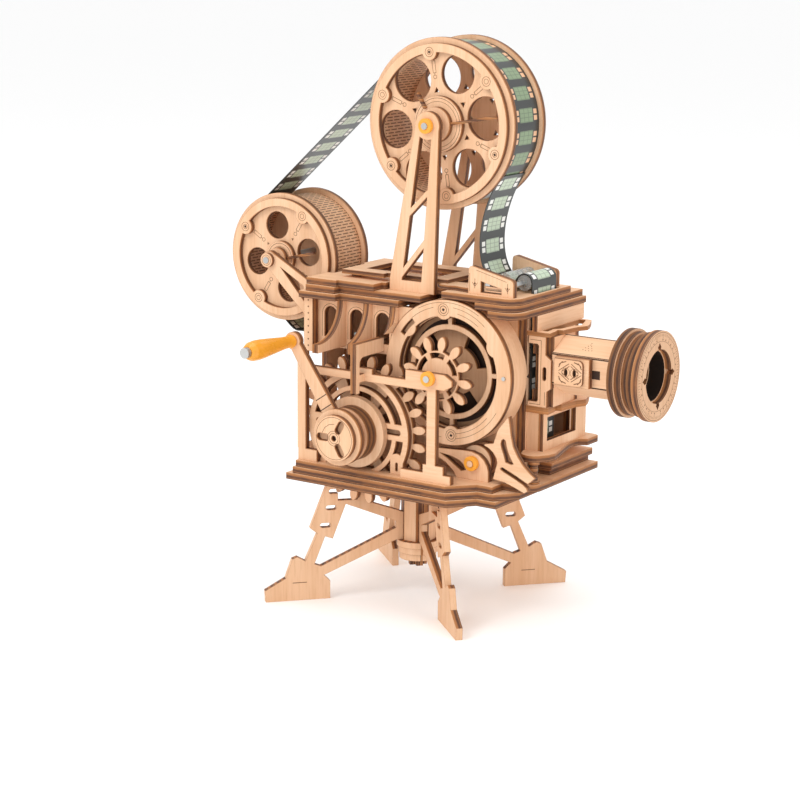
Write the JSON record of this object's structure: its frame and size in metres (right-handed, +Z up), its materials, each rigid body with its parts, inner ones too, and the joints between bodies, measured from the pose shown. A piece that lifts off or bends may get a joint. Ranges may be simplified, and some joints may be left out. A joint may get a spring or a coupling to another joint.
{
  "type": "film projector model kit",
  "caption": "Hand-cranked film projector model in laser-cut plywood: gear train, shutter housing, two film reels, lens and four-legged stand.",
  "frame": {"origin": "on the floor, on the axis of the stand's column", "axes": "+X out of the lens, -Y towards the crank side, +Z up"},
  "size_m": [0.2207, 0.1326, 0.255],
  "materials": {
    "plywood": "satin",
    "reel_ply": "satin",
    "ply_edge": "matte",
    "steel": "satin",
    "cap_orange": "matte",
    "grip_wood": "gloss",
    "film": "gloss",
    "roller_clear": "gloss",
    "glass": "gloss"
  },
  "bodies": {
    "frame": {"legs_left": "plywood", "legs_right": "plywood", "stand_hub": "plywood", "base_lower": "plywood", "base_middle": "plywood", "base_upper": "plywood", "base_step": "plywood", "wall_left": "plywood", "wall_arcade": "plywood", "wall_front": "plywood", "wall_right": "plywood", "wall_back": "plywood", "deck_lower": "plywood", "deck_middle": "plywood", "deck_upper": "plywood", "wall_ribs": "plywood", "crank_bracket": "plywood", "corner_frame": "plywood", "bridge": "plywood", "gear_guard": "plywood", "ring_front": "plywood", "ring_rim": "plywood", "ring_spokes": "plywood", "idler_cover": "plywood", "side_bracket": "plywood", "reel_supports": "plywood", "reel_arms": "plywood", "film_runs": "film", "guide_plates": "plywood", "gate_frame": "plywood", "gate_ledges": "plywood", "lens_barrel": "plywood", "lens_stack": "ply_edge", "lens_face": "plywood"},
    "crank": {"gear_large": "plywood", "crank_shaft": "steel", "crank_face": "plywood", "crank_drum": "ply_edge", "crank_arm": "plywood", "handle_pin": "steel"},
    "handle": {"handle_grip": "grip_wood"},
    "shutter_body": {"shutter": "plywood", "gear_small": "plywood", "shutter_shaft": "steel", "shutter_knob": "cap_orange"},
    "idler": {"idler_wheel": "plywood", "idler_knob": "cap_orange"},
    "upper_reel": {"upper_reel_front": "reel_ply", "upper_reel_back": "reel_ply", "upper_reel_core": "reel_ply", "upper_reel_knobs": "cap_orange", "film_wound": "film"},
    "lower_reel": {"lower_reel_front": "reel_ply", "lower_reel_back": "reel_ply", "lower_reel_drum": "reel_ply", "lower_reel_knobs": "reel_ply"},
    "roller_a": {"guide_roller": "roller_clear"},
    "roller_b": {"film_roller": "roller_clear"},
    "focus": {"focus_slider": "plywood", "lens_glass": "glass"}
  },
  "joints": [
    {"name": "crank_turn", "type": "hinge", "parent": "frame", "child": "crank", "pos_m": [-0.0133, 0, 0.0806], "axis": [0, 1, 0], "continuous": true},
    {"name": "handle_spin", "type": "hinge", "parent": "crank", "child": "handle", "pos_m": [-0.03999, -0.06, 0.12062], "axis": [0, 1, 0], "continuous": true},
    {"name": "shutter_turn", "type": "hinge", "parent": "frame", "child": "shutter_body", "pos_m": [0.0264, 0, 0.1101], "axis": [0, 1, 0], "continuous": true},
    {"name": "idler_turn", "type": "hinge", "parent": "frame", "child": "idler", "pos_m": [0.0404, 0, 0.0713], "axis": [0, 1, 0], "continuous": true},
    {"name": "upper_reel_turn", "type": "hinge", "parent": "frame", "child": "upper_reel", "pos_m": [0.0108, 0, 0.2172], "axis": [0, 1, 0], "continuous": true},
    {"name": "lower_reel_turn", "type": "hinge", "parent": "frame", "child": "lower_reel", "pos_m": [-0.0758, 0, 0.15], "axis": [0, 1, 0], "continuous": true},
    {"name": "roller_a_turn", "type": "hinge", "parent": "frame", "child": "roller_a", "pos_m": [0.0433, 0, 0.1503], "axis": [0, 1, 0], "continuous": true},
    {"name": "roller_b_turn", "type": "hinge", "parent": "frame", "child": "roller_b", "pos_m": [0.05335, 0, 0.1503], "axis": [0, 1, 0], "continuous": true},
    {"name": "focus_slide", "type": "slide", "parent": "frame", "child": "focus", "axis": [1, 0, 0], "range_m": [0, 0.005]}
  ],
  "couplings": [
    {"joint": "shutter_turn", "follows": "crank_turn", "ratio": -2},
    {"joint": "lower_reel_turn", "follows": "crank_turn", "ratio": 0.5},
    {"joint": "upper_reel_turn", "follows": "crank_turn", "ratio": 0.38}
  ]
}
